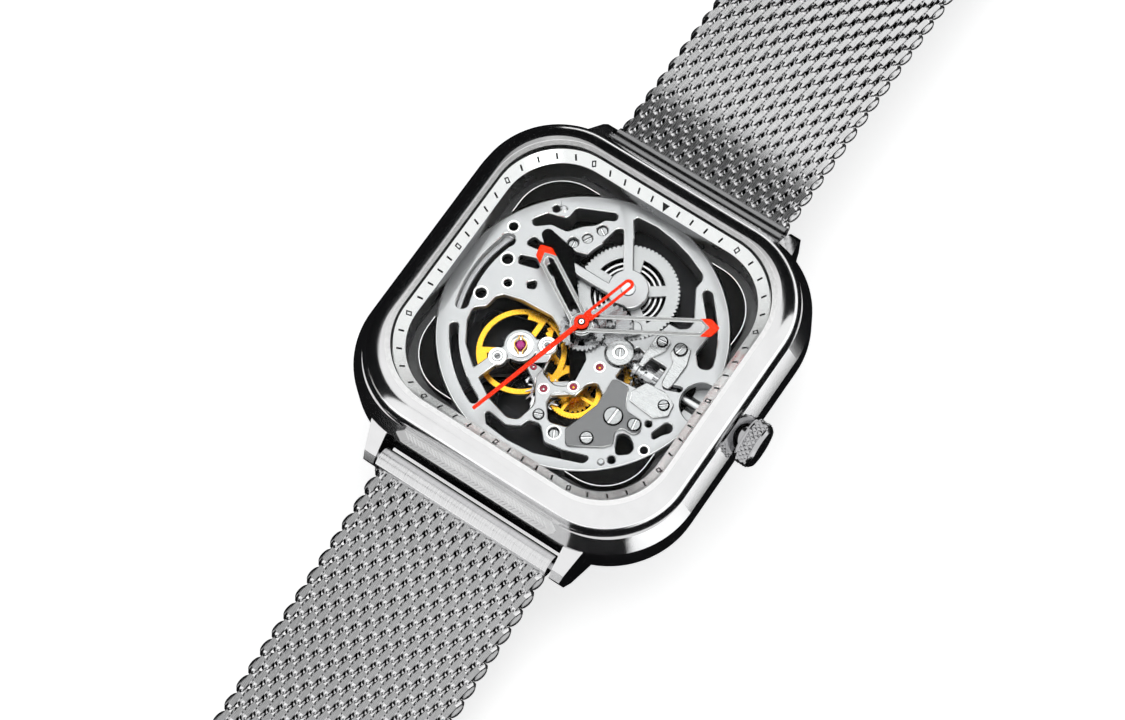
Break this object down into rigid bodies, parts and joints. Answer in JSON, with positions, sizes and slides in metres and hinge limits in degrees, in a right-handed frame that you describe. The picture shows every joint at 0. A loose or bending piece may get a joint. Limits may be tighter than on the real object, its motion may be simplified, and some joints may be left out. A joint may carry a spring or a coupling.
{
  "type": "wristwatch",
  "caption": "Square-cased skeleton wristwatch with an open mechanical movement, orange-tipped hands and a woven steel mesh strap with a sliding fold-over clasp.",
  "frame": {"origin": "centre of the flat outer face of the case back", "axes": "+Z out through the crystal, +Y towards 12 o'clock along the strap, +X towards the crown at 3 o'clock"},
  "size_m": [0.042, 0.2331, 0.0197],
  "materials": {
    "case_steel": "fine satin with polished bevels",
    "bezel_steel": "polished",
    "crystal_glass": "clear",
    "rubber_black": "matt",
    "flange_white": "satin white",
    "well_black": "satin black",
    "movement_steel": "frosted",
    "plate_grey": "bead blasted grey",
    "polished_steel": "mirror polished",
    "gilt_brass": "satin gilt",
    "ruby": "polished synthetic ruby",
    "spring_steel": "polished",
    "hand_steel": "polished with an orange lacquered tip",
    "hand_orange": "orange lacquer",
    "mesh_steel": "woven wire"
  },
  "bodies": {
    "case": {"case_middle": "case_steel", "bezel": "bezel_steel", "crystal": "crystal_glass", "crystal_gasket": "rubber_black", "flange_ring": "flange_white", "casing_ring": "well_black", "side_grips": "case_steel", "case_back": "case_steel", "case_back_gasket": "rubber_black", "case_back_crystal": "crystal_glass", "crown_tube": "polished_steel", "spring_bars": "polished_steel", "main_plate": "plate_grey", "cover_plate": "movement_steel", "lever_spring": "polished_steel", "train_jewels": "ruby", "shock_setting": "gilt_brass", "barrel_bridge": "movement_steel", "train_bridge": "movement_steel", "balance_cock": "movement_steel"},
    "strap_upper": {"strap_end_12": "mesh_steel", "mesh_12": "mesh_steel", "catch_bar_12": "mesh_steel"},
    "strap_lower": {"strap_end_6": "mesh_steel", "mesh_6": "mesh_steel"},
    "clasp": {"clasp_body": "mesh_steel", "clasp_pin": "polished_steel"},
    "clasp_lid": {"clasp_cover": "mesh_steel"},
    "crown_slide": {"crown_gasket": "rubber_black"},
    "crown_group": {"crown": "case_steel", "winding_stem": "polished_steel"},
    "clutch": {"sliding_pinion": "polished_steel"},
    "winding": {"winding_pinion": "polished_steel"},
    "crown_wheel_group": {"crown_wheel": "polished_steel"},
    "ratchet": {"ratchet_wheel": "polished_steel", "barrel_arbor": "polished_steel"},
    "click_lever": {"click": "polished_steel"},
    "setting_lever_group": {"setting_lever": "polished_steel"},
    "yoke_group": {"yoke": "polished_steel"},
    "barrel": {"barrel_drum": "polished_steel", "mainspring": "spring_steel"},
    "centre": {"centre_wheel": "gilt_brass"},
    "third": {"third_wheel": "gilt_brass"},
    "fourth": {"fourth_wheel": "gilt_brass"},
    "escape": {"escape_wheel": "polished_steel"},
    "idler": {"seconds_idler": "gilt_brass"},
    "seconds": {"seconds_wheel": "gilt_brass", "seconds_hand": "hand_orange"},
    "pallet": {"pallet_fork": "polished_steel"},
    "balance": {"balance_wheel": "gilt_brass", "hairspring": "spring_steel"},
    "minute": {"cannon_pinion": "polished_steel", "minute_hand": "hand_steel"},
    "hour": {"hour_wheel": "polished_steel", "hour_hand": "hand_steel"},
    "minute_wheel_group": {"minute_wheel": "polished_steel"},
    "setting_wheel_group": {"setting_wheel": "polished_steel"},
    "rotor_group": {"rotor": "movement_steel"}
  },
  "joints": [
    {"name": "strap_upper_hinge", "type": "hinge", "parent": "case", "child": "strap_upper", "pos_m": [0, 0.0216, 0.0037], "axis": [1, 0, 0], "range_deg": [-75, 60]},
    {"name": "strap_lower_hinge", "type": "hinge", "parent": "case", "child": "strap_lower", "pos_m": [0, -0.0216, 0.0037], "axis": [-1, 0, 0], "range_deg": [-75, 60]},
    {"name": "clasp_slide", "type": "slide", "parent": "strap_lower", "child": "clasp", "axis": [0, 1, 0], "range_m": [-0.004, 0.03]},
    {"name": "clasp_lid_flip", "type": "hinge", "parent": "clasp", "child": "clasp_lid", "pos_m": [0, -0.109, -0.0038], "axis": [-1, 0, 0], "range_deg": [0, 100]},
    {"name": "crown_pull", "type": "slide", "parent": "case", "child": "crown_slide", "axis": [1, 0, 0], "range_m": [0, 0.0012]},
    {"name": "crown_turn", "type": "hinge", "parent": "crown_slide", "child": "crown_group", "pos_m": [0.02, 0, 0.0065], "axis": [1, 0, 0], "continuous": true},
    {"name": "clutch_shift", "type": "slide", "parent": "crown_group", "child": "clutch", "axis": [1, 0, 0], "range_m": [-0.00206, 0]},
    {"name": "winding_pinion_turn", "type": "hinge", "parent": "case", "child": "winding", "pos_m": [0.0085, 0, 0.0065], "axis": [1, 0, 0], "continuous": true},
    {"name": "crown_wheel_turn", "type": "hinge", "parent": "case", "child": "crown_wheel_group", "pos_m": [0.0059, 0, 0.0048], "axis": [0, 0, 1], "continuous": true},
    {"name": "ratchet_turn", "type": "hinge", "parent": "case", "child": "ratchet", "pos_m": [0.0013, 0.0065, 0.0048], "axis": [0, 0, 1], "continuous": true},
    {"name": "click_swing", "type": "hinge", "parent": "case", "child": "click_lever", "pos_m": [-0.005, 0.0075, 0.0048], "axis": [0, 0, 1], "range_deg": [0, 12], "stiffness_Nm_per_rad": 0.00000002, "springref_deg": -5.73},
    {"name": "setting_lever_swing", "type": "hinge", "parent": "case", "child": "setting_lever_group", "pos_m": [0.00965, 0.00375, 0.0083], "axis": [0, 0, 1], "range_deg": [0, 18.1]},
    {"name": "yoke_swing", "type": "hinge", "parent": "case", "child": "yoke_group", "pos_m": [0.0076, 0.00345, 0.0083], "axis": [0, 0, 1], "range_deg": [-16.3, 0]},
    {"name": "seconds_turn", "type": "hinge", "parent": "case", "child": "seconds", "pos_m": [0, 0, 0.0108], "axis": [0, 0, 1], "continuous": true},
    {"name": "seconds_idler_turn", "type": "hinge", "parent": "case", "child": "idler", "pos_m": [0.00164, -0.00262, 0.005], "axis": [0, 0, 1], "continuous": true},
    {"name": "fourth_wheel_turn", "type": "hinge", "parent": "case", "child": "fourth", "pos_m": [0.00265, -0.00555, 0.0063], "axis": [0, 0, 1], "continuous": true},
    {"name": "third_wheel_turn", "type": "hinge", "parent": "case", "child": "third", "pos_m": [0.0037, -0.0023, 0.0052], "axis": [0, 0, 1], "continuous": true},
    {"name": "centre_wheel_turn", "type": "hinge", "parent": "case", "child": "centre", "pos_m": [0, 0, 0.0055], "axis": [0, 0, 1], "continuous": true},
    {"name": "barrel_turn", "type": "hinge", "parent": "case", "child": "barrel", "pos_m": [0.0013, 0.0065, 0.0063], "axis": [0, 0, 1], "continuous": true},
    {"name": "escape_wheel_turn", "type": "hinge", "parent": "case", "child": "escape", "pos_m": [0.0002, -0.0074, 0.0066], "axis": [0, 0, 1], "continuous": true},
    {"name": "pallet_swing", "type": "hinge", "parent": "case", "child": "pallet", "pos_m": [-0.00205, -0.00595, 0.0066], "axis": [0, 0, 1], "range_deg": [-3, 3]},
    {"name": "balance_swing", "type": "hinge", "parent": "case", "child": "balance", "pos_m": [-0.0045, -0.00475, 0.006], "axis": [0, 0, 1], "range_deg": [-150, 150], "stiffness_Nm_per_rad": 0.0000004},
    {"name": "minute_turn", "type": "hinge", "parent": "case", "child": "minute", "pos_m": [0, 0, 0.0104], "axis": [0, 0, 1], "continuous": true},
    {"name": "minute_wheel_turn", "type": "hinge", "parent": "case", "child": "minute_wheel_group", "pos_m": [0.00188, 0.00221, 0.0078], "axis": [0, 0, 1], "continuous": true},
    {"name": "hour_turn", "type": "hinge", "parent": "case", "child": "hour", "pos_m": [0, 0, 0.01], "axis": [0, 0, 1], "continuous": true},
    {"name": "setting_wheel_turn", "type": "hinge", "parent": "case", "child": "setting_wheel_group", "pos_m": [0.0046, 0.0001, 0.0078], "axis": [0, 0, 1], "continuous": true},
    {"name": "rotor_turn", "type": "hinge", "parent": "case", "child": "rotor_group", "pos_m": [0, 0, 0.003], "axis": [0, 0, 1], "continuous": true}
  ],
  "couplings": [
    {"joint": "clutch_shift", "follows": "crown_pull", "ratio": -1.7167},
    {"joint": "setting_lever_swing", "follows": "crown_pull", "rad_per_m": 263.23},
    {"joint": "yoke_swing", "follows": "crown_pull", "rad_per_m": -237.05},
    {"joint": "winding_pinion_turn", "follows": "crown_turn", "ratio": 1},
    {"joint": "crown_wheel_turn", "follows": "crown_turn", "ratio": 0.75},
    {"joint": "ratchet_turn", "follows": "crown_turn", "ratio": -0.5},
    {"joint": "seconds_idler_turn", "follows": "seconds_turn", "ratio": -1.1111},
    {"joint": "fourth_wheel_turn", "follows": "seconds_turn", "ratio": 1},
    {"joint": "third_wheel_turn", "follows": "seconds_turn", "ratio": -0.13333},
    {"joint": "centre_wheel_turn", "follows": "seconds_turn", "ratio": 0.016667},
    {"joint": "barrel_turn", "follows": "seconds_turn", "ratio": -0.0041667},
    {"joint": "escape_wheel_turn", "follows": "seconds_turn", "ratio": -10},
    {"joint": "minute_wheel_turn", "follows": "minute_turn", "ratio": -0.33333},
    {"joint": "hour_turn", "follows": "minute_turn", "ratio": 0.083333},
    {"joint": "setting_wheel_turn", "follows": "minute_turn", "ratio": 0.57143}
  ]
}
